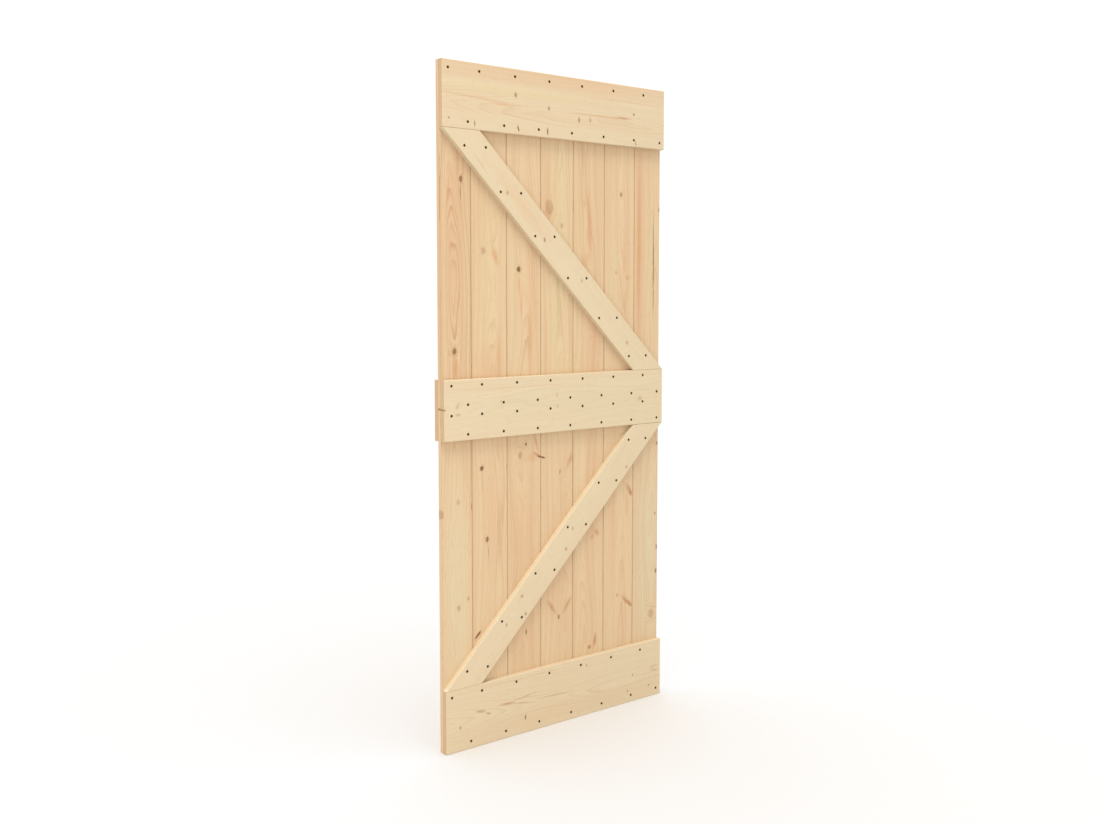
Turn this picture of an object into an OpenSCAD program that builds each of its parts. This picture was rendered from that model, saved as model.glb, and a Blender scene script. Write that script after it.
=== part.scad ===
// Ledged and braced barn door leaf, left raw: tongue-and-groove boards stand side by side,
// three rails and two braces are screwed to their front, and one rail to their back.
// X runs across the leaf, Y from its front to its back, Z up; the origin is under its centre.

/* [Leaf] */
// Width of the leaf
door_w = 900; // [750:10:1100]
// Height of the leaf
door_h = 2100; // [1750:10:2600]

/* [Boards] */
// Thickness of a board
board_t = 18; // [14:0.5:30]
// Width that one whole board covers, from joint to joint
board_w = 134; // [110:1:160]
// How far the field of whole boards sits to the right of the leaf's centre
board_shift = -3; // [-12:1:12]
// Gap between the shoulders of two boards
seam = 0.6; // [0.2:0.1:2]
// Chamfer along each side of a joint
vee = 2; // [0.5:0.5:4]
// Thickness of a tongue
tongue_t = 5; // [3:0.5:7]
// How far a tongue stands out
tongue_l = 6; // [4:0.5:9]
// Clearance around a tongue in its groove
tongue_fit = 0.3; // [0.1:0.1:0.6]

/* [Rails and braces] */
// Thickness of the rails and braces
batten_t = 18; // [14:0.5:30]
// Height of the top rail and of the bottom rail
end_rail_h = 198; // [120:1:260]
// Height of the front and back middle rails
mid_rail_h = 186; // [120:1:260]
// Height of the middle rails' centre above the foot of the leaf
mid_rail_z = 1060; // [850:5:1250]
// Width of a brace, across its grain
brace_w = 94; // [60:1:130]
// Gap between a brace's cut end and the rail it stands on
brace_fit = 0.5; // [0.2:0.1:2]
// Radius of the eased arrises
arris_r = 2; // [0.5:0.5:4]

/* [Screws] */
// Diameter of a screw's head
head_d = 7.5; // [6:0.1:9]
// Diameter of a screw's shank
shank_d = 3.8; // [3:0.1:5]
// How far a head is sunk below the face of the wood
head_sink = 0.6; // [0.2:0.1:1.5]
// Depth of the cross recess in a head
recess_depth = 1.4; // [0.8:0.1:2]
// Clearance around a screw in the wood
screw_fit = 0.1; // [0.05:0.05:0.3]
// Wood left beyond a screw's point
point_cover = 6; // [3:0.5:8]
// Distance of the end rails' screws from a joint
end_inset = 21; // [15:1:40]
// Distance of the middle rail's screws from a joint
mid_inset = 26; // [15:1:40]
// Distance of the outer screw rows from an end rail's outer edge
end_row = 24; // [15:1:50]
// Distance of the inner screw rows from an end rail's inner edge
inner_row = 22; // [15:1:50]
// Distance of the middle rail's outer rows from its edges
mid_row = 18; // [12:1:40]
// Distance between the middle rail's two inner rows
mid_row_pair = 31; // [20:1:60]
// Distance between the two screws of a pair on a brace
pair_w = 78; // [50:1:90]
// Distance of a brace's first pair from the middle of its cut end
pair_in = 50; // [35:1:90]

/* [Hidden] */
$fn = 48;

board_count = 7;
pair_count = 6;
wood = "burlywood";
pale_wood = "wheat";
black_steel = "dimgray";

// Planes of the three layers
panel_front = -board_t / 2;
panel_back = board_t / 2;
front_face = panel_front - batten_t;

// Edges of the rails
mid_low = mid_rail_z - mid_rail_h / 2;
mid_high = mid_rail_z + mid_rail_h / 2;
top_low = door_h - end_rail_h;

// Edges of the boards: the leaf's two sides, and the joints between them
function joint_x(i) =
    i == 0 ? -door_w / 2 :
    i == board_count ? door_w / 2 :
    board_shift + (i - board_count / 2) * board_w;

// Screw rows: one screw in each board, beside its left or its right edge
function left_row(inset, z) = [for (i = [0 : board_count - 1]) [joint_x(i) + inset, z]];
function right_row(inset, z) = [for (i = [1 : board_count]) [joint_x(i) - inset, z]];

// Length of a brace's cut end, where it meets a rail: the root of
// length * rise = brace_w * hypotenuse, for a brace that fills the bay corner to corner
function cut_length(rise) =
    let (a = rise * rise - brace_w * brace_w,
         b = brace_w * brace_w * door_w,
         c = brace_w * brace_w * (rise * rise + door_w * door_w))
    (sqrt(b * b + a * c) - b) / a;

upper_rise = top_low - mid_high;
lower_rise = mid_low - end_rail_h;

// Pairs of screws along a brace's centre line, from its left end; up is 1 for a brace that
// climbs to the right and -1 for one that falls to the right
function brace_screws(low, rise, up) =
    let (cut = cut_length(rise),
         run = door_w - cut,
         step = (run - 2 * pair_in) / (pair_count - 1))
    [for (i = [0 : pair_count - 1], side = [-1, 1])
        let (x = pair_in + i * step - run / 2)
        [x + side * pair_w / 2, low + rise / 2 + up * x * rise / run]];

top_screws = concat(left_row(end_inset, door_h - end_row), right_row(end_inset, top_low + inner_row));
bottom_screws = concat(left_row(end_inset, end_rail_h - inner_row), right_row(end_inset, end_row));
mid_short_screws = concat(left_row(mid_inset, mid_high - mid_row), right_row(mid_inset, mid_low + mid_row));
mid_long_screws = concat(
    right_row(mid_inset, mid_rail_z + mid_row_pair / 2),
    left_row(mid_inset, mid_rail_z - mid_row_pair / 2)
);
upper_screws = brace_screws(mid_high, upper_rise, -1);
lower_screws = brace_screws(end_rail_h, lower_rise, 1);
short_screws = concat(top_screws, bottom_screws, mid_short_screws, upper_screws, lower_screws);

// Depths of the screws' points behind the front face
short_depth = batten_t + board_t - point_cover;
long_depth = 2 * batten_t + board_t - point_cover;

head_h = (head_d - shank_d) / 2;
rim_h = 0.4;
point_h = 5;
recess_l = head_d * 0.5;
recess_w = 0.9;
bore_end = 0.5;

// A countersunk screw, or with a clearance the hole it leaves, along +Z from its head's face
module screw_form(length, grow, point) {
    r = shank_d / 2 + grow;
    rotate_extrude()
        polygon([
            [0, 0], [head_d / 2 + grow, 0], [head_d / 2 + grow, rim_h], [r, rim_h + head_h],
            [r, length - point], [0, length]
        ]);
}

// One screw, with its point at the given depth behind the front face
module screw(depth) {
    length = depth - head_sink;
    translate([0, front_face + head_sink, 0])
        rotate([-90, 0, 0])
            difference() {
                screw_form(length, 0, point_h);
                for (turn = [0, 90])
                    rotate([0, 0, turn])
                        translate([-recess_l / 2, -recess_w / 2, -1])
                            cube([recess_l, recess_w, recess_depth + 1]);
            }
}

// Its hole: sunk for the head, open at the front face, and a little deeper than the point
module screw_hole(depth) {
    translate([0, front_face, 0])
        rotate([-90, 0, 0]) {
            translate([0, 0, head_sink])
                screw_form(depth - head_sink + bore_end, screw_fit, 0);
            translate([0, 0, -1])
                cylinder(h = head_sink + 1, d = head_d + 2 * screw_fit);
        }
}

module screws(places, depth) {
    color(black_steel)
        for (p = places)
            translate([p[0], 0, p[1]])
                screw(depth);
}

module screw_holes(places, depth) {
    for (p = places)
        translate([p[0], 0, p[1]])
            screw_hole(depth);
}

// Section of a board from x = a to x = b, with a groove at its left and a tongue at its right
module board_section(a, b, groove, tongue) {
    t = tongue_t / 2;
    g = t + tongue_fit;
    groove_l = tongue_l + seam + tongue_fit;
    left_side = groove
        ? [[a, g], [a + groove_l, g], [a + groove_l, -g], [a, -g]]
        : [];
    right_side = tongue
        ? [[b, -t], [b + tongue_l, -t], [b + tongue_l, t], [b, t]]
        : [];
    polygon(concat(
        [[a, panel_front + vee], [a + vee, panel_front], [b - vee, panel_front], [b, panel_front + vee]],
        right_side,
        [[b, panel_back - vee], [b - vee, panel_back], [a + vee, panel_back], [a, panel_back - vee]],
        left_side
    ));
}

// The screws that reach into the stretch from x = a to x = b
function within(places, a, b) = [for (p = places) if (p[0] > a - head_d && p[0] < b + head_d) p];

module board(i) {
    first = i == 1;
    last = i == board_count;
    a = joint_x(i - 1) + (first ? 0 : seam / 2);
    b = joint_x(i) - (last ? 0 : seam / 2);
    color(wood)
        difference() {
            linear_extrude(door_h)
                board_section(a, b, !first, !last);
            screw_holes(within(short_screws, a, b + tongue_l), short_depth);
            screw_holes(within(mid_long_screws, a, b + tongue_l), long_depth);
        }
}

// Section of a batten lying on y = 0, its face at y = -batten_t with both arrises eased
module batten_section(width) {
    translate([-batten_t + arris_r, 0])
        square([batten_t - arris_r, width]);
    translate([-batten_t, arris_r])
        square([arris_r, width - 2 * arris_r]);
    for (z = [arris_r, width - arris_r])
        translate([-batten_t + arris_r, z])
            circle(arris_r);
}

// A batten along X, centred on x = 0 and standing on z = 0, with its face towards -Y
module batten(length, width) {
    translate([-length / 2, 0, 0])
        rotate([90, 0, 90])
            linear_extrude(length)
                batten_section(width);
}

// The same with the arrises of its two ends eased as well
module rail(height) {
    intersection() {
        batten(door_w, height);
        translate([door_w / 2, 0, 0])
            rotate([0, -90, 0])
                batten(height * 2, door_w);
    }
}

// A brace that fills the bay above z = low from corner to corner
module brace(low, rise, up) {
    run = door_w - cut_length(rise);
    span = sqrt(run * run + rise * rise);
    translate([0, panel_front, low])
        intersection() {
            translate([0, 0, rise / 2])
                rotate([0, -up * atan2(rise, run), 0])
                    translate([0, 0, -brace_w / 2])
                        batten(span + 3 * brace_w, brace_w);
            translate([-door_w / 2, -batten_t, brace_fit])
                cube([door_w, batten_t, rise - 2 * brace_fit]);
        }
}

module front_top_rail() {
    color(pale_wood)
        difference() {
            translate([0, panel_front, top_low])
                rail(end_rail_h);
            screw_holes(top_screws, short_depth);
        }
}

module front_mid_rail() {
    color(pale_wood)
        difference() {
            translate([0, panel_front, mid_low])
                rail(mid_rail_h);
            screw_holes(mid_short_screws, short_depth);
            screw_holes(mid_long_screws, long_depth);
        }
}

module front_bottom_rail() {
    color(pale_wood)
        difference() {
            translate([0, panel_front, 0])
                rail(end_rail_h);
            screw_holes(bottom_screws, short_depth);
        }
}

module back_mid_rail() {
    color(pale_wood)
        difference() {
            translate([0, panel_back, mid_low])
                mirror([0, 1, 0])
                    rail(mid_rail_h);
            screw_holes(mid_long_screws, long_depth);
        }
}

module upper_brace() {
    color(pale_wood)
        difference() {
            brace(mid_high, upper_rise, -1);
            screw_holes(upper_screws, short_depth);
        }
}

module lower_brace() {
    color(pale_wood)
        difference() {
            brace(end_rail_h, lower_rise, 1);
            screw_holes(lower_screws, short_depth);
        }
}

module top_rail_screws() { screws(top_screws, short_depth); }
module bottom_rail_screws() { screws(bottom_screws, short_depth); }
module mid_rail_short_screws() { screws(mid_short_screws, short_depth); }
module mid_rail_long_screws() { screws(mid_long_screws, long_depth); }
module upper_brace_screws() { screws(upper_screws, short_depth); }
module lower_brace_screws() { screws(lower_screws, short_depth); }

for (i = [1 : board_count])
    board(i);
front_top_rail();
front_mid_rail();
front_bottom_rail();
back_mid_rail();
upper_brace();
lower_brace();
top_rail_screws();
bottom_rail_screws();
mid_rail_short_screws();
mid_rail_long_screws();
upper_brace_screws();
lower_brace_screws();
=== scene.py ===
"""The looks of a raw pine barn door leaf: knotty boards, paler rails and braces, brown screws.

Lengths are in metres. X runs across the leaf, Y from its front to its back, Z up.
Places of knots and stains are in millimetres from the leaf's lower left corner.
"""

import collections
import functools
import math

import bpy
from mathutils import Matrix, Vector


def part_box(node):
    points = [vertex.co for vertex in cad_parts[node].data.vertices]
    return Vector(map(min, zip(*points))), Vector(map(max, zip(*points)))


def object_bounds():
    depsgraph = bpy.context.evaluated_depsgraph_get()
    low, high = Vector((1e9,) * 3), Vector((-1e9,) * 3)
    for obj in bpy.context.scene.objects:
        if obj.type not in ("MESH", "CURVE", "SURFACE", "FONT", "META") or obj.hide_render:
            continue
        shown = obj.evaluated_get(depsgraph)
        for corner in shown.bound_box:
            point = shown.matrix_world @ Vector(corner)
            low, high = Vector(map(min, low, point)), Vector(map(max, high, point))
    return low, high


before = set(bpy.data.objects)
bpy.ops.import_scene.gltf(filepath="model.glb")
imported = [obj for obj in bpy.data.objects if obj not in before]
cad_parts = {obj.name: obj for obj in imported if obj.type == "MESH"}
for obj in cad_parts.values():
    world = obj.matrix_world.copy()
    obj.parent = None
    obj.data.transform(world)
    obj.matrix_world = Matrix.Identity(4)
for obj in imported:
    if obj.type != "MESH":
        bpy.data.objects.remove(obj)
cad_low, cad_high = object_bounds()


# ---------------------------------------------------------------- shader maths

class Value:
    """A number that varies over a surface: the output of a node in one finish."""

    def __init__(self, finish, socket):
        self.finish = finish
        self.socket = socket

    def maths(self, operation, first, second=0.0):
        return self.finish.node("ShaderNodeMath", {"operation": operation}, {0: first, 1: second})

    def __add__(self, other):
        return self.maths("ADD", self, other)

    def __sub__(self, other):
        return self.maths("SUBTRACT", self, other)

    def __rsub__(self, other):
        return self.maths("SUBTRACT", other, self)

    def __mul__(self, other):
        return self.maths("MULTIPLY", self, other)

    def __truediv__(self, other):
        return self.maths("DIVIDE", self, other)

    def __pow__(self, other):
        return self.maths("POWER", self, other)

    __radd__ = __add__
    __rmul__ = __mul__

    def abs(self):
        return self.maths("ABSOLUTE", self)

    def fraction(self):
        return self.maths("FRACT", self)

    def highest(self, other):
        return self.maths("MAXIMUM", self, other)

    def lowest(self, other):
        return self.maths("MINIMUM", self, other)


class Finish:
    """A material and the few ways in which its nodes are made."""

    def __init__(self, name):
        self.material = bpy.data.materials.new(name)
        self.material.use_nodes = True
        self.tree = self.material.node_tree
        self.shader = self.tree.nodes["Principled BSDF"]

    def node(self, kind, settings, inputs, output=0):
        """Adds a node: its settings first, then the values or links of its sockets."""
        made = self.tree.nodes.new(kind)
        for name, setting in settings.items():
            if name == "stops":
                self.set_stops(made.color_ramp, setting)
            else:
                setattr(made, name, setting)
        for name, value in inputs.items():
            self.feed(made.inputs[name], value)
        return Value(self, made.outputs[output])

    def set_stops(self, ramp, stops):
        while len(ramp.elements) < len(stops):
            ramp.elements.new(1.0)
        for element, (place, level) in zip(ramp.elements, stops):
            element.position = place
            element.color = (level, level, level, 1.0)

    def feed(self, socket, value):
        if isinstance(value, Value):
            self.tree.links.new(value.socket, socket)
        else:
            socket.default_value = value

    def surface(self, name, value):
        self.feed(self.shader.inputs[name], value)

    def vector(self, operation, first, second, output=0):
        return self.node("ShaderNodeVectorMath", {"operation": operation}, {0: first, 1: second}, output)

    def mix(self, factor, first, second):
        inputs = {0: factor, 6: first, 7: second}
        return self.node("ShaderNodeMix", {"data_type": "RGBA"}, inputs, 2)

    def step(self, value, span, bottom=0.0, top=1.0):
        """Eases from bottom to top as value goes from the span's low end to its high end."""
        low, high = span
        settings = {"interpolation_type": "SMOOTHSTEP"}
        inputs = {"Value": value, "From Min": low, "From Max": high, "To Min": bottom, "To Max": top}
        return self.node("ShaderNodeMapRange", settings, inputs)

    def noise(self, place, stretch, detail=2.0, roughness=0.5, output=0):
        """Noise with its own frequency along each axis, in cycles a metre."""
        spread = self.vector("MULTIPLY", place, stretch)
        inputs = {"Vector": spread, "Scale": 1.0, "Detail": detail, "Roughness": roughness}
        return self.node("ShaderNodeTexNoise", {}, inputs, output)


def linear(red, green, blue):
    """A colour given as 0 to 255 display values, as the shader's linear one."""
    def one(level):
        level = level / 255
        return level / 12.92 if level <= 0.04045 else ((level + 0.055) / 1.055) ** 2.4
    return (one(red), one(green), one(blue), 1.0)


# ---------------------------------------------------------------- pine

# Earlywood, latewood and heartwood, in the boards and in the paler rails and braces
BOARD_TONES = (linear(209, 183, 145), linear(170, 121, 81), linear(203, 167, 129))
BATTEN_TONES = (linear(208, 190, 157), linear(180, 148, 110), linear(205, 180, 146))

SAPWOOD = linear(207, 189, 147)
SAP_PALE = linear(204, 191, 157)
PINK = linear(205, 167, 130)
RESIN = linear(196, 144, 102)
FLAME = linear(176, 126, 82)
SPLIT = linear(98, 68, 44)
# Crushed fibres round the screw heads, darkened further with painted shadow of the gap round each head
CRUSHED_AND_SHADOW = linear(96, 66, 26)
SAWN_END = linear(187, 153, 117)
# Slightly darker edge grain in the V-joints between boards, deepened with painted shade
VEE_GRAIN_AND_SHADE = linear(132, 95, 63)
KNOT_RIM = linear(70, 42, 22)
KNOT_DEAD = linear(92, 54, 28)
KNOT_LIVE = linear(168, 124, 78)

# Thickness of a year's growth, and its darkness from early spring to the end of summer
RING = 0.0032
YEAR = [(0.0, 0.10), (0.4, 0.16), (0.8, 0.75), (0.9, 1.0), (0.97, 0.06)]

# How fast good and poor years follow each other, and how dark the latewood of a poor one is
WEATHER_RATE = 0.41
POOR_YEAR = 0.25

# How far apart the patterns of two pieces lie, for each step of the seed
SEED_SHIFT = (3.7, 9.1, 5.3)

# How far the pith wanders across and through a log, and how the rings widen along it
WANDER_ACROSS = 0.09
WANDER_THROUGH = 0.06
TAPER = 0.006

# Depth of the slow bulges and of the fine ripples in the rings
BULGE = 0.016
RIPPLE = 0.0022

# Frequencies across, along and through the grain, in cycles a metre
WANDER_RATE = (0.0, 1.1, 0.0)
BULGE_RATE = (16.0, 1.8, 16.0)
RIPPLE_RATE = (70.0, 6.0, 70.0)
RAGGED_RATE = (140.0, 45.0, 140.0)
BAND_RATE = (26.0, 0.55, 26.0)
CLOUD_RATE = (9.0, 2.6, 9.0)
FIBRE_RATE = (1500.0, 28.0, 1500.0)
DUCT_RATE = (800.0, 34.0, 800.0)
SAW_RATE = (420.0, 420.0, 420.0)

# How ragged an outline is across and along the grain; a knot under this half width is neater
RAGGED = (0.006, 0.012, 0.0)
NEAT = (0.3, 0.3, 0.0)
NEAT_UNDER = 6

# Where a pattern begins and where it is full, in its noise or in how far a surface faces a way
WEATHER_SPAN = (0.3, 0.75)
BAND_SPAN = (0.42, 0.66)
CLOUD_SPAN = (0.35, 0.75)
FIBRE_SPAN = (0.35, 0.75)
DUCT_SPAN = (0.70, 0.82)
SAWN_SPAN = (0.75, 0.95)
CHAMFER_SPAN = (0.3, 0.45)

# Where a mark begins to change and where it ends, from 0 at its middle through 1 at its edge
STAIN_SPAN = (0.0, 1.3)
FADED_SPAN = (0.4, 1.1)
PUSH_SPAN = (0.3, 3.0)
HALO_SPAN = (0.9, 2.2)
CORE_SPAN = (0.8, 1.15)
RIM_SPAN = (0.74, 0.98)

# How strongly each one shows in the colour
CLOUD_SHOWS = 0.18
FIBRE_SHOWS = 0.14
DUCT_SHOWS = 0.35
END_RINGS_SHOW = 0.5
SAWN_SHOWS = 0.8
# The next one is the painted shade, over darker edge grain, in the V-joints between boards
VEE_SHADE_SHOWS = 0.25
# The next one is the crushed wood and painted shadow round the screw heads
RIM_SHADOW_SHOWS = 0.6
HALO_SHOWS = 0.35

# A knot: how far it pushes the rings, for each millimetre of its half width, and its own rings
KNOT_PUSH = 0.0011
KNOT_RINGS = 3.1
KNOT_RING_SPAN = (0.3, 0.95)
KNOT_RINGS_SHOW = 0.35
PALEST_RIM = 0.2

# A screw's head, the depth of its rim, and the span of the crushed wood and painted shadow round its
# middle
HEAD_WIDE = 0.0075
HEAD_RIM = 0.0002
RIM_SHADOW_SPAN = (0.0040, 0.0056)

# Roughness of the planed face, and what the rings, the fibres and a sawn end do to it
PLANED_ROUGH = 0.62
RINGS_SMOOTH = 0.10
FIBRES_ROUGH = 0.10
SAWN_ROUGH = 0.2

# Relief: its depth and strength, and how high the rings, fibres, knots and saw marks stand in it
RELIEF_DEPTH = 0.00035
RELIEF_STRENGTH = 0.35
RING_HEIGHT = 0.5
FIBRE_HEIGHT = 0.6
KNOT_HEIGHT = 1.2
SAW_HEIGHT = 3.0

Knot = collections.namedtuple("Knot", "reach core half_wide strength")


class Pine(Finish):
    """Planed raw pine in one piece of the leaf, with the places that its patterns follow.

    A place is a distance across the grain, along it and through the piece, from its middle.
    """

    def __init__(self, piece, angle, tones, seed):
        super().__init__(piece + "_pine")
        low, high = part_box(piece)
        self.angle = angle
        self.early, self.late, self.heartwood = tones
        self.seed = seed
        self.middle = (low + high) / 2
        self.along = Vector((math.cos(angle), 0, math.sin(angle)))
        self.across = Vector((math.sin(angle), 0, -math.cos(angle)))
        self.through = Vector((0, 1, 0))

        here = self.node("ShaderNodeTexCoord", {}, {}, "Object")
        from_middle = self.vector("SUBTRACT", here, tuple(self.middle))
        self.aside = self.share(from_middle, self.across)
        self.lengthwise = self.share(from_middle, self.along)
        self.deep = self.share(from_middle, self.through)
        parts = {"X": self.aside, "Y": self.lengthwise, "Z": self.deep}
        self.place = self.node("ShaderNodeCombineXYZ", {}, parts)
        self.seeded = self.vector("ADD", self.place, tuple(seed * shift for shift in SEED_SHIFT))
        self.facing = self.node("ShaderNodeNewGeometry", {}, {}, "True Normal")

        ragged = self.noise(self.seeded, RAGGED_RATE, 3.0, 0.6, 1)
        ragged = self.vector("SUBTRACT", ragged, (0.5, 0.5, 0.5))
        ragged = self.vector("MULTIPLY", ragged, RAGGED)
        self.uneven = self.vector("ADD", self.place, ragged)
        self.neat = self.vector("ADD", self.place, self.vector("MULTIPLY", ragged, NEAT))

    def share(self, vector, direction):
        """How much of a vector points in one direction."""
        return self.vector("DOT_PRODUCT", vector, tuple(direction), 1)

    def spot(self, x, z):
        """The place of a point on the leaf's front, given in millimetres."""
        point = Vector((cad_low.x + x / 1000, self.middle.y, cad_low.z + z / 1000))
        offset = point - self.middle
        return (offset.dot(self.across), offset.dot(self.along), 0.0)

    def oval(self, outline, x, z, half_wide, half_long, tilt):
        """How far a place is from an oval's middle, as 1 at its edge.

        The oval stands along Z, with its sizes in millimetres, and tilt leans its top to the
        right, in degrees.
        """
        inputs = {
            "Vector": outline,
            "Location": self.spot(x, z),
            "Rotation": (0.0, 0.0, math.radians(90 - tilt) - self.angle),
            "Scale": (half_wide / 1000, half_long / 1000, 1.0),
        }
        inside = self.node("ShaderNodeMapping", {"vector_type": "TEXTURE"}, inputs)
        return self.vector("LENGTH", inside, (0.0, 0.0, 0.0), 1)

    def pith_distance(self, pith):
        """Distance from a pith that wanders along the log, bulging and rippling slightly."""
        wander = self.noise(self.seeded, WANDER_RATE, 1.0, 0.5, 1)
        drift_across = self.node("ShaderNodeSeparateColor", {}, {"Color": wander}, 0) - 0.5
        drift_through = self.node("ShaderNodeSeparateColor", {}, {"Color": wander}, 1) - 0.5
        aside = self.aside - pith[0] + drift_across * WANDER_ACROSS
        deep = self.deep - pith[1] + drift_through * WANDER_THROUGH
        radius = (aside * aside + deep * deep) ** 0.5 + self.lengthwise * TAPER
        radius = radius + self.noise(self.seeded, BULGE_RATE, 2.0) * BULGE
        return radius + self.noise(self.seeded, RIPPLE_RATE, 2.0) * RIPPLE

    def knot(self, x, z, half_wide, half_long, tilt, strength):
        """How far a place is from a knot, and the knot's core, which is clear even when faint."""
        outline = self.neat if half_wide < NEAT_UNDER else self.uneven
        reach = self.oval(outline, x, z, half_wide, half_long, tilt)
        core = self.step(reach, CORE_SPAN, strength ** 0.75, 0.0)
        return Knot(reach, core, half_wide, strength)

    def latewood(self, pith, ring, knots, faded):
        """The dark part of each ring: knots push the rings aside, and some years are fainter."""
        radius = self.pith_distance(pith)
        for knot in knots:
            radius = radius + self.step(knot.reach, PUSH_SPAN, knot.half_wide * KNOT_PUSH, 0.0)
        years = radius / ring
        late = self.node("ShaderNodeValToRGB", {"stops": YEAR}, {"Fac": years.fraction()})
        inputs = {"W": years * WEATHER_RATE + self.seed, "Scale": 1.0, "Detail": 2.0}
        weather = self.node("ShaderNodeTexNoise", {"noise_dimensions": "1D"}, inputs)
        late = late * self.step(weather, WEATHER_SPAN, POOR_YEAR, 1.0)
        for x, z, half_wide, half_long, tilt, strength in faded:
            reach = self.oval(self.uneven, x, z, half_wide, half_long, tilt)
            late = late * self.step(reach, FADED_SPAN, 1 - strength, 1.0)
        return late

    def planed_colour(self, latewood, fibre, contrast, heart, stains):
        """Bands of heartwood, stains, rings, slow changes of tone, fibres and resin ducts."""
        band = self.noise(self.seeded, BAND_RATE, 2.0, 0.55)
        cloud = self.noise(self.seeded, CLOUD_RATE, 2.0, 0.5)
        duct = self.noise(self.seeded, DUCT_RATE, 0.0)
        colour = self.mix(self.step(band, BAND_SPAN) * heart, self.early, self.heartwood)
        for x, z, half_wide, half_long, tilt, strength, stain in stains:
            reach = self.oval(self.uneven, x, z, half_wide, half_long, tilt)
            colour = self.mix(self.step(reach, STAIN_SPAN, strength, 0.0), colour, stain)
        colour = self.mix(latewood * contrast, colour, self.late)
        colour = self.mix(self.step(cloud, CLOUD_SPAN) * CLOUD_SHOWS, colour, self.heartwood)
        colour = self.mix(self.step(fibre, FIBRE_SPAN) * FIBRE_SHOWS, colour, self.late)
        return self.mix(self.step(duct, DUCT_SPAN) * DUCT_SHOWS, colour, self.late)

    def sawn_ends(self):
        """Where the surface is a cut across the grain."""
        return self.step(self.share(self.facing, self.along).abs(), SAWN_SPAN)

    def joint_chamfers(self):
        """Where the surface leans between the front or back and a long edge: the V-joints between
        boards, where painted shade is laid over slightly darker edge grain.
        """
        sideways = self.share(self.facing, self.across)
        outwards = self.share(self.facing, self.through)
        return self.step((sideways * outwards).abs(), CHAMFER_SPAN)

    def crushed_rims_and_shadow(self, screws):
        """The rims round the screw heads: crushed fibres, and painted shadow in the gap round each sunk
        head.
        """
        flat = self.vector("MULTIPLY", self.place, (1.0, 1.0, 0.0))
        gaps = [self.vector("DISTANCE", flat, self.spot(x, z), 1) for x, z in screws]
        nearest = functools.reduce(Value.lowest, gaps)
        return self.step(nearest, RIM_SHADOW_SPAN, 1.0, 0.0)

    def knot_colour(self, knot):
        """Rings round the knot's own middle, darker where its bark has grown in."""
        wood = tuple(Vector(KNOT_LIVE).lerp(Vector(KNOT_DEAD), knot.strength))
        rings = self.step((knot.reach * KNOT_RINGS).fraction(), KNOT_RING_SPAN) * KNOT_RINGS_SHOW
        wood = self.mix(rings, wood, KNOT_RIM)
        rim_shows = PALEST_RIM + (1 - PALEST_RIM) * knot.strength
        return self.mix(self.step(knot.reach, RIM_SPAN) * rim_shows, wood, KNOT_RIM)

    def with_knots(self, colour, knots):
        """The colour with each knot's halo and core laid over it."""
        for knot in knots:
            halo = self.step(knot.reach, HALO_SPAN, knot.strength * HALO_SHOWS, 0.0)
            colour = self.mix(halo, colour, self.late)
            colour = self.mix(knot.core, colour, self.knot_colour(knot))
        return colour

    def relief(self, latewood, fibre, knots, ends):
        """Rings, fibres and knots stand a little proud, and sawn ends are rough."""
        cores = functools.reduce(Value.highest, [knot.core for knot in knots])
        height = latewood * RING_HEIGHT + fibre * FIBRE_HEIGHT + cores * KNOT_HEIGHT
        height = height + self.noise(self.seeded, SAW_RATE, 3.0, 0.7) * ends * SAW_HEIGHT
        inputs = {"Strength": RELIEF_STRENGTH, "Distance": RELIEF_DEPTH, "Height": height}
        return self.node("ShaderNodeBump", {}, inputs)


def pine(piece, angle, tones, look, seed):
    """The finish of one piece, from its look in the tables below."""
    wood = Pine(piece, angle, tones, seed)
    knots = [wood.knot(*knot) for knot in look["knots"]]
    latewood = wood.latewood(look["pith"], look.get("ring", RING), knots, look.get("faded", ()))
    fibre = wood.noise(wood.seeded, FIBRE_RATE, 2.0, 0.6)
    ends = wood.sawn_ends()

    colour = wood.planed_colour(latewood, fibre, look["contrast"], look["heart"], look["stains"])
    end_colour = wood.mix(latewood * END_RINGS_SHOW, SAWN_END, wood.late)
    colour = wood.mix(ends * SAWN_SHOWS, colour, end_colour)
    colour = wood.with_knots(colour, knots)
    screws = screw_heads(piece)
    if screws:
        # Painted shadow in the gap round each screw head, over crushed fibres
        colour = wood.mix(wood.crushed_rims_and_shadow(screws) * RIM_SHADOW_SHOWS, colour, CRUSHED_AND_SHADOW)
    if piece in BOARDS:
        # Painted shade in the V-joints between boards, over slightly darker edge grain
        colour = wood.mix(wood.joint_chamfers() * VEE_SHADE_SHOWS, colour, VEE_GRAIN_AND_SHADE)
    rough = PLANED_ROUGH - latewood * RINGS_SMOOTH + fibre * FIBRES_ROUGH + ends * SAWN_ROUGH

    wood.surface("Base Color", colour)
    wood.surface("Roughness", rough)
    wood.surface("IOR", 1.45)
    wood.surface("Specular IOR Level", 0.35)
    wood.surface("Normal", wood.relief(latewood, fibre, knots, ends))
    return wood.material


def screw_heads(piece):
    """The middles of the screw heads in a piece's front, in millimetres from the leaf's corner."""
    low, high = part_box(piece)
    heads = []
    for name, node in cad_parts.items():
        head_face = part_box(name)[0].y
        if not name.endswith("screws") or not low.y < head_face < high.y:
            continue
        for vertex in node.data.vertices:
            x, y, z = vertex.co
            if y > head_face + HEAD_RIM or not (low.x < x < high.x and low.z < z < high.z):
                continue
            same = [head for head in heads if math.dist(head[0], (x, z)) < 2 * HEAD_WIDE]
            if same:
                same[0].append((x, z))
            else:
                heads.append([(x, z)])
    return [head_middle(head) for head in heads]


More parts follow.
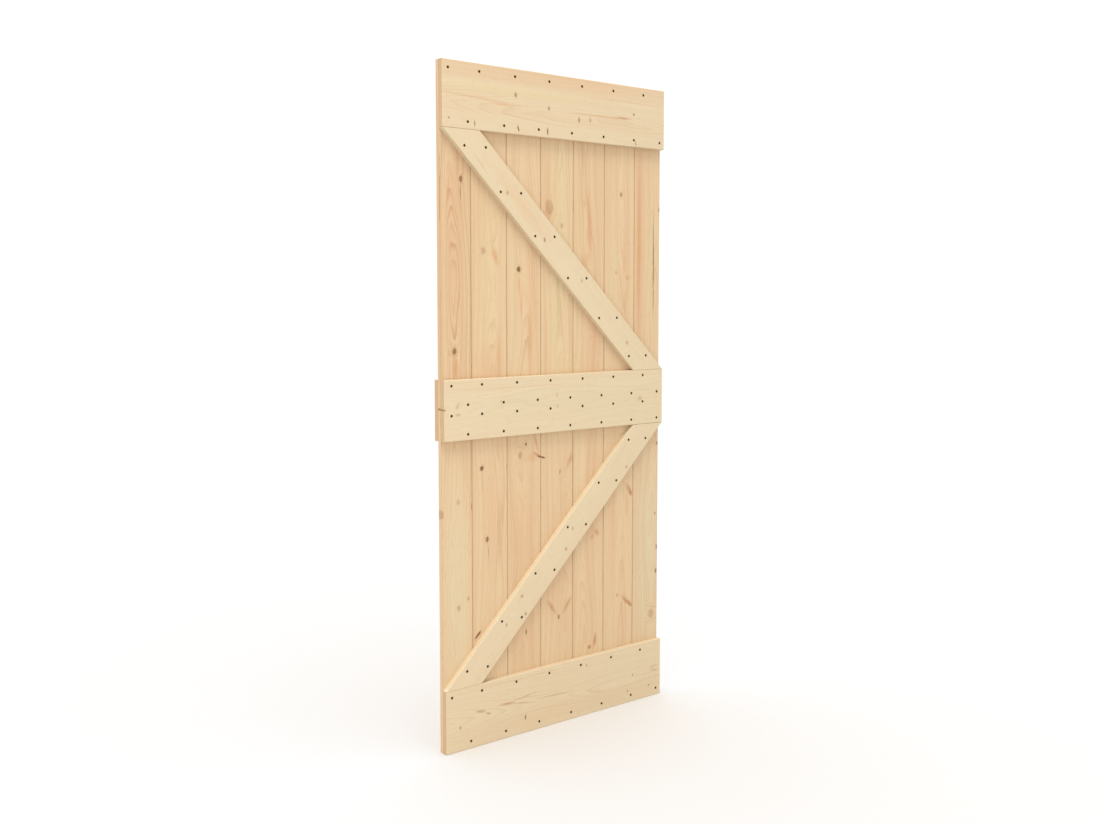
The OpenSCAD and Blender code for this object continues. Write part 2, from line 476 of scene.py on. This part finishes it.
def head_middle(rim):
    """The middle of one screw's head, from the points of its rim."""
    xs, zs = zip(*rim)
    x = (min(xs) + max(xs)) / 2 - cad_low.x
    z = (min(zs) + max(zs)) / 2 - cad_low.z
    return x * 1000, z * 1000


# ---------------------------------------------------------------- boards, rails and braces

# For each piece: the pith's place across and through it, from its middle; how strongly the rings
# and the heartwood show; and its marks. Each knot: x, z, half its width, half its length, the
# lean of its top to the right, strength. Each stain: the same, and its colour. Where a piece has
# faded, its rings are weaker.
BOARDS = {
    "board_1": {
        "pith": (-0.012, 0.040), "ring": 0.0024, "contrast": 1.0, "heart": 0.6,
        "knots": [
            (76, 1756, 6, 9, 10, 0.65), (49, 1238, 7, 10, 0, 0.7), (60, 776, 6, 8, 15, 0.2),
            (60, 447, 6, 9, 0, 0.3), (96, 471, 5, 7, 0, 0.25), (0, 743, 6, 13, 0, 0.3),
            (111, 757, 3, 13, 0, 0.6), (0, 1064, 5, 3, 0, 0.6),
        ],
        "stains": [
            (45, 1580, 34, 380, 0, 0.7, PINK), (95, 1500, 15, 420, 0, 0.6, SAPWOOD),
            (52, 1188, 13, 45, 0, 0.8, RESIN), (55, 520, 46, 380, 0, 0.75, SAP_PALE),
            (76, 1725, 1.6, 45, 3, 0.8, SPLIT), (30, 1720, 6, 60, 6, 0.5, RESIN),
        ],
        "faded": [(56, 480, 90, 560, 0, 0.75)],
    },
    "board_2": {
        "pith": (0.020, 0.055), "contrast": 0.4, "heart": 0.5,
        "knots": [
            (158, 1543, 8, 10, 0, 0.25), (148, 872, 6, 8, 20, 0.8), (168, 647, 5, 9, 8, 0.7),
            (246, 868, 3, 12, 0, 0.6), (131, 349, 4, 15, 45, 0.8),
        ],
        "stains": [
            (175, 1450, 60, 300, 0, 0.5, SAPWOOD), (201, 1527, 12, 36, -18, 0.75, RESIN),
            (180, 1180, 60, 90, 0, 0.6, PINK), (172, 605, 1.6, 48, -4, 0.8, SPLIT),
            (150, 830, 1.4, 40, -4, 0.5, SPLIT), (190, 700, 40, 260, 0, 0.45, PINK),
            (215, 1220, 10, 110, 0, 0.5, RESIN),
        ],
    },
    "board_3": {
        "pith": (-0.010, 0.070), "contrast": 0.45, "heart": 0.55,
        "knots": [
            (292, 1489, 7, 8, 0, 0.8), (297, 900, 7, 11, 5, 0.35), (320, 934, 3, 4, 0, 0.9),
            (320, 324, 3, 9, 0, 0.6), (375, 890, 3, 8, 110, 0.8),
        ],
        "stains": [
            (268, 1350, 15, 300, 0, 0.7, SAPWOOD), (345, 1400, 30, 300, 0, 0.55, PINK),
            (294, 1440, 5, 34, 0, 0.7, RESIN), (302, 1375, 6, 60, 0, 0.5, RESIN),
            (337, 1280, 10, 110, 0, 0.5, RESIN), (362, 935, 6, 45, -16, 0.8, RESIN),
            (345, 890, 30, 18, 0, 0.4, RESIN), (366, 896, 6, 24, -62, 0.9, FLAME),
            (300, 640, 50, 160, 0, 0.5, PINK),
        ],
    },
    "board_4": {
        "pith": (0.015, 0.045), "contrast": 0.45, "heart": 0.3,
        "knots": [
            (388, 886, 3, 9, 105, 0.85), (415, 1688, 15, 23, -8, 0.22), (466, 1630, 5, 8, 0, 0.3),
            (459, 832, 4, 7, 10, 0.35), (454, 350, 4, 7, 0, 0.6),
        ],
        "stains": [
            (450, 1450, 60, 560, 0, 0.7, SAPWOOD), (408, 1700, 16, 190, 0, 0.65, PINK),
            (503, 880, 10, 60, 20, 0.8, PINK), (440, 500, 50, 260, 0, 0.45, PINK),
            (424, 388, 9, 34, -36, 0.75, FLAME), (491, 386, 8, 36, 34, 0.7, FLAME),
            (415, 1672, 18, 22, 0, 0.4, FLAME), (502, 868, 9, 30, 30, 0.6, FLAME),
            (400, 1230, 14, 160, 0, 0.45, PINK), (500, 1300, 9, 300, 0, 0.5, PINK),
        ],
    },
    "board_5": {
        "pith": (-0.022, 0.036), "contrast": 0.5, "heart": 0.45,
        "knots": [(585, 222, 4, 6, 0, 0.5), (560, 1705, 3, 5, 0, 0.2)],
        "stains": [
            (526, 1200, 10, 700, 0, 0.7, SAPWOOD), (583, 1640, 12, 120, -3, 0.8, RESIN),
            (595, 1220, 40, 200, 0, 0.6, PINK), (618, 612, 16, 10, 40, 0.8, FLAME),
            (598, 600, 16, 7, -40, 0.6, FLAME), (611, 243, 8, 28, 8, 1.0, FLAME),
            (590, 224, 9, 10, -30, 0.8, FLAME), (600, 740, 34, 220, 0, 0.5, PINK),
            (560, 1500, 20, 60, 8, 0.5, RESIN),
        ],
    },
    "board_6": {
        "pith": (0.008, 0.060), "contrast": 0.4, "heart": 0.45,
        "knots": [
            (721, 1743, 5, 7, 0, 0.45), (700, 1483, 4, 6, 0, 0.25), (750, 1466, 4, 6, 0, 0.25),
            (771, 729, 6, 9, -30, 0.3), (711, 381, 4, 6, 0, 0.3), (770, 339, 4, 9, -48, 0.35),
        ],
        "stains": [
            (690, 1500, 26, 400, 0, 0.5, SAPWOOD), (745, 1550, 22, 300, 0, 0.5, PINK),
            (757, 352, 9, 38, -50, 1.0, FLAME), (764, 742, 11, 26, -35, 0.8, FLAME),
            (755, 690, 8, 50, 0, 0.4, RESIN), (735, 1200, 22, 200, 0, 0.4, PINK),
            (690, 640, 22, 260, 0, 0.5, PINK),
        ],
    },
    "board_7": {
        "pith": (0.030, 0.050), "contrast": 0.5, "heart": 0.3,
        "knots": [
            (870, 289, 12, 15, 0, 0.25), (886, 645, 3, 4, 0, 0.6), (892, 440, 4, 7, 0, 0.7),
            (896, 525, 4, 8, 0, 0.6), (897, 1700, 3, 8, 0, 0.7), (894, 892, 4, 6, 0, 0.6),
        ],
        "stains": [
            (806, 1620, 19, 420, 0, 0.9, PINK), (803, 1560, 11, 360, 0, 0.6, RESIN),
            (860, 1450, 30, 420, 0, 0.5, SAPWOOD), (871, 1512, 3, 210, -0.3, 1.0, SPLIT),
            (840, 550, 70, 480, 0, 0.85, SAP_PALE), (815, 830, 12, 180, 0, 0.5, PINK),
        ],
    },
}

BATTENS = {
    "front_top_rail": {
        "pith": (0.030, 0.075), "contrast": 0.4, "heart": 0.5,
        "knots": [
            (269, 2021, 4, 7, 0, 0.6), (399, 1993, 4, 6, 0, 0.5), (523, 1968, 4, 7, 0, 0.5),
            (760, 2008, 4, 5, 0, 0.5), (116, 1921, 2.5, 8, 0, 0.6), (279, 1920, 2.5, 9, -15, 0.8),
            (394, 1921, 2.5, 10, 0, 0.8), (23, 1930, 3, 3, 0, 0.6), (570, 1972, 3, 7, 0, 0.4),
        ],
        "stains": [
            (450, 2092, 700, 44, 0, 0.6, PINK), (300, 2030, 330, 16, 0, 0.8, SAPWOOD),
            (130, 1998, 190, 5, 3, 0.5, RESIN), (560, 1989, 110, 3, -2, 0.5, RESIN),
            (645, 1988, 105, 3, 0, 0.8, RESIN), (712, 1992, 44, 3.5, 0, 1.0, FLAME),
            (220, 1987, 48, 5, 0, 0.6, RESIN), (690, 2046, 260, 5, 0, 0.5, PINK),
            (769, 1914, 2.5, 11, -15, 0.9, SPLIT),
        ],
    },
    "front_mid_rail": {
        "pith": (-0.020, 0.090), "contrast": 0.25, "heart": 0.3,
        "knots": [
            (48, 1073, 5, 10, 30, 0.15), (50, 1046, 9, 4, 0, 0.25), (432, 1087, 5, 6, 0, 0.15),
            (435, 1051, 5, 5, 0, 0.15), (795, 1056, 10, 7, 0, 0.2), (210, 1079, 3, 2, 0, 0.5),
            (0, 1063, 5, 2.5, 0, 0.6),
        ],
        "stains": [(450, 1060, 600, 80, 0, 0.5, SAP_PALE), (300, 1120, 300, 3, 0, 0.3, RESIN)],
    },
    "front_bottom_rail": {
        "pith": (0.010, 0.045), "contrast": 0.45, "heart": 0.3,
        "knots": [
            (51, 76, 4, 4, 0, 0.4), (303, 51, 2.5, 8, 8, 0.8), (769, 94, 4, 4, 0, 0.4),
            (845, 41, 4, 4, 0, 0.4), (745, 42, 4, 5, 0, 0.3), (560, 170, 3, 5, -20, 0.3),
        ],
        "stains": [
            (300, 182, 300, 2, 0, 0.4, RESIN), (450, 40, 500, 40, 0, 0.2, PINK),
            (128, 110, 5, 22, 96, 0.8, KNOT_LIVE), (158, 97, 4, 12, 112, 0.8, KNOT_LIVE),
            (228, 112, 5, 34, 92, 0.8, KNOT_LIVE), (300, 120, 2, 70, 84, 0.7, KNOT_LIVE),
            (290, 101, 2.5, 60, 100, 0.7, KNOT_LIVE), (430, 98, 3, 80, 92, 0.6, KNOT_LIVE),
            (866, 104, 3, 24, 82, 0.7, KNOT_LIVE), (868, 92, 3, 22, 100, 0.7, KNOT_LIVE),
        ],
    },
    "back_mid_rail": {
        "pith": (-0.030, -0.050), "contrast": 0.5, "heart": 0.5,
        "knots": [(210, 1080, 8, 7, 0, 0.6), (640, 1035, 10, 8, 0, 0.7)],
        "stains": [(640, 1035, 60, 9, 0, 0.5, RESIN), (450, 1120, 500, 20, 0, 0.5, PINK)],
    },
    "upper_brace": {
        "pith": (0.012, 0.070), "contrast": 0.2, "heart": 0.25,
        "knots": [
            (237, 1722, 4, 6, 0, 0.4), (382, 1582, 4, 7, 0, 0.5), (536, 1454, 4, 5, 0, 0.3),
            (735, 1248, 5, 7, 0, 0.3),
        ],
        "stains": [(140, 1800, 1.5, 50, -42, 0.4, SPLIT), (300, 1680, 30, 200, -45, 0.4, PINK)],
    },
    "lower_brace": {
        "pith": (-0.015, 0.060), "contrast": 0.2, "heart": 0.25,
        "knots": [
            (735, 825, 4, 5, 0, 0.4), (499, 643, 5, 6, 0, 0.25), (470, 578, 5, 6, 0, 0.35),
            (290, 450, 6, 6, 0, 0.35), (304, 390, 4, 5, 0, 0.45), (228, 368, 4, 6, 0, 0.35),
        ],
        "stains": [(176, 285, 2, 8, 60, 0.6, RESIN)],
    },
}

# Length of a brace's cut end, and the angle of an upright board's grain
BRACE_CUT = 0.133
UPRIGHT = math.radians(90)


def brace_slope(brace):
    """The angle at which a brace climbs, from its box and the length of its cut ends."""
    low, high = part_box(brace)
    return math.atan2(high.z - low.z, high.x - low.x - BRACE_CUT)


def set_material(piece, material):
    """Gives a CAD node one material all over."""
    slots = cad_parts[piece].data.materials
    slots.clear()
    slots.append(material)


def finish_wood():
    slopes = {"upper_brace": -brace_slope("upper_brace"), "lower_brace": brace_slope("lower_brace")}
    pieces = [(piece, UPRIGHT, BOARD_TONES, look) for piece, look in BOARDS.items()]
    pieces += [(piece, slopes.get(piece, 0.0), BATTEN_TONES, look) for piece, look in BATTENS.items()]
    for seed, (piece, angle, tones, look) in enumerate(pieces, start=1):
        set_material(piece, pine(piece, angle, tones, look, seed))


# ---------------------------------------------------------------- screws

STEEL_DARK = linear(50, 32, 12)
STEEL_WORN = linear(78, 54, 26)
WORN_SPAN = (0.5, 0.75)
WORN_RATE = (260.0, 260.0, 260.0)
GRIT_RATE = (2400.0, 2400.0, 2400.0)


def brown_steel():
    """Brown phosphated steel, nearly black and matt, paler where it is worn."""
    finish = Finish("phosphated_steel")
    here = finish.node("ShaderNodeTexCoord", {}, {}, "Object")
    worn = finish.step(finish.noise(here, WORN_RATE, 3.0, 0.6), WORN_SPAN)
    finish.surface("Base Color", finish.mix(worn, STEEL_DARK, STEEL_WORN))
    finish.surface("Specular IOR Level", 0.1)
    finish.surface("Roughness", 0.65 - worn * 0.2)
    grit = finish.noise(here, GRIT_RATE, 2.0, 0.6)
    bump = finish.node("ShaderNodeBump", {}, {"Strength": 0.3, "Distance": 0.0001, "Height": grit})
    finish.surface("Normal", bump)
    return finish.material


def finish_screws():
    steel = brown_steel()
    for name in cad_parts:
        if name.endswith("screws"):
            set_material(name, steel)


# ---------------------------------------------------------------- studio

WHITE = (1.0, 1.0, 1.0, 1.0)
FLOOR_WHITE = (0.98, 0.98, 0.975, 1.0)
FLOOR_SIZE = 60
SKY_STRENGTH = 1.05

# The camera's lens in millimetres, how far the picture is shifted up, and where it looks
LENS = 37.76
PICTURE_SHIFT = -0.025
CAMERA_PLACE = (-2.3344, -2.9198, 1.4083)
TO_THE_RIGHT = math.radians(38.34)
DOWNWARDS = math.radians(4.44)


def studio_floor():
    """A wide pale floor."""
    bpy.ops.object.select_all(action="DESELECT")
    bpy.ops.mesh.primitive_plane_add(size=FLOOR_SIZE, location=(0, 0, cad_low.z))
    floor = bpy.context.object
    floor.name = "floor"
    finish = Finish("pale_floor")
    finish.surface("Base Color", FLOOR_WHITE)
    finish.surface("Roughness", 0.9)
    floor.data.materials.append(finish.material)


def softbox(name, lit, towards, distance, size, power):
    """A square soft light on some pieces only, in one direction from the middle of the leaf."""
    light = bpy.data.lights.new(name, "AREA")
    light.shape = "SQUARE"
    light.size = size
    light.energy = power
    direction = Vector(towards).normalized()
    lamp = bpy.data.objects.new(name, light)
    lamp.location = (cad_low + cad_high) / 2 + direction * distance
    lamp.rotation_euler = direction.to_track_quat("Z", "Y").to_euler()
    lamp.light_linking.receiver_collection = lit
    bpy.context.scene.collection.objects.link(lamp)


def studio_lights():
    """White light all round, and soft lights that reach the leaf alone, not the floor."""
    lit = bpy.data.collections.new("lit_pieces")
    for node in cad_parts.values():
        lit.objects.link(node)
    softbox("front_light", lit, towards=(-0.26, -0.32, 1.0), distance=9.0, size=3.5, power=540)
    softbox("back_light", lit, towards=(-0.20, 0.45, 1.0), distance=9.0, size=3.5, power=300)
    softbox("left_fill", lit, towards=(-1.0, -0.9, -0.25), distance=3.2, size=0.9, power=18)
    world = bpy.data.worlds.new("studio")
    world.use_nodes = True
    sky = world.node_tree.nodes["Background"]
    sky.inputs["Color"].default_value = WHITE
    sky.inputs["Strength"].default_value = SKY_STRENGTH
    bpy.context.scene.world = world
    bpy.context.scene.view_settings.view_transform = "Standard"


def studio_camera():
    """Level with the upper half of the leaf, to the left of it, looking slightly down."""
    camera = bpy.data.cameras.new("camera")
    camera.lens = LENS
    camera.shift_y = PICTURE_SHIFT
    eye = bpy.data.objects.new("camera", camera)
    eye.location = CAMERA_PLACE
    ahead = Vector((
        math.sin(TO_THE_RIGHT) * math.cos(DOWNWARDS),
        math.cos(TO_THE_RIGHT) * math.cos(DOWNWARDS),
        -math.sin(DOWNWARDS),
    ))
    eye.rotation_euler = ahead.to_track_quat("-Z", "Y").to_euler()
    bpy.context.scene.collection.objects.link(eye)
    bpy.context.scene.camera = eye


studio_camera()
studio_floor()
studio_lights()
finish_wood()
finish_screws()
